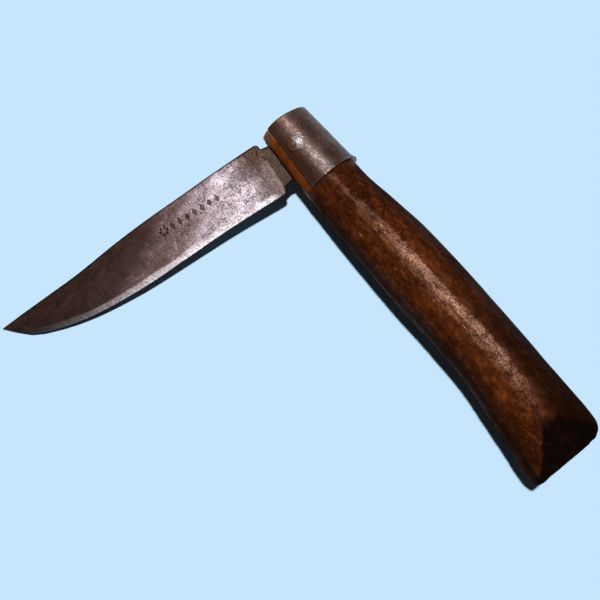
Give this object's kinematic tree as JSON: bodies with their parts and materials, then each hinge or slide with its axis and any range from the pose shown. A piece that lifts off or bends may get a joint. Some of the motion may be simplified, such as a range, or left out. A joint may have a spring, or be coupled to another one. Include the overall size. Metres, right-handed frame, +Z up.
{
  "type": "folding grafting knife",
  "caption": "Folding garden knife: wooden beak-ended handle, open steel collar, one hammered rivet and a broad pointed carbon-steel blade lying half open.",
  "frame": {"origin": "middle of the lying knife's bounding box, on the surface it lies on", "axes": "+X along the handle towards the butt, +Z up, roughly along the rivet, and the half-open blade points to -Y"},
  "size_m": [0.1153, 0.1011, 0.0183],
  "materials": {
    "handle_wood": "hand-polished, dark and worn",
    "collar_steel": "brown-grey patina, rubbed",
    "blade_steel": "stained and lightly pitted, bright at the edge",
    "rivet_steel": "hammered, rubbed bright on top"
  },
  "bodies": {
    "handle_body": {"handle": "handle_wood", "collar": "collar_steel", "rivet": "rivet_steel"},
    "blade_body": {"blade": "blade_steel"}
  },
  "joints": [
    {"name": "blade_hinge", "type": "hinge", "parent": "handle_body", "child": "blade_body", "pos_m": [-0.04412, 0.03784, 0.00831], "axis": [-0.0078, -0.087, 0.9962], "range_deg": [-82.5, 94.5]}
  ]
}
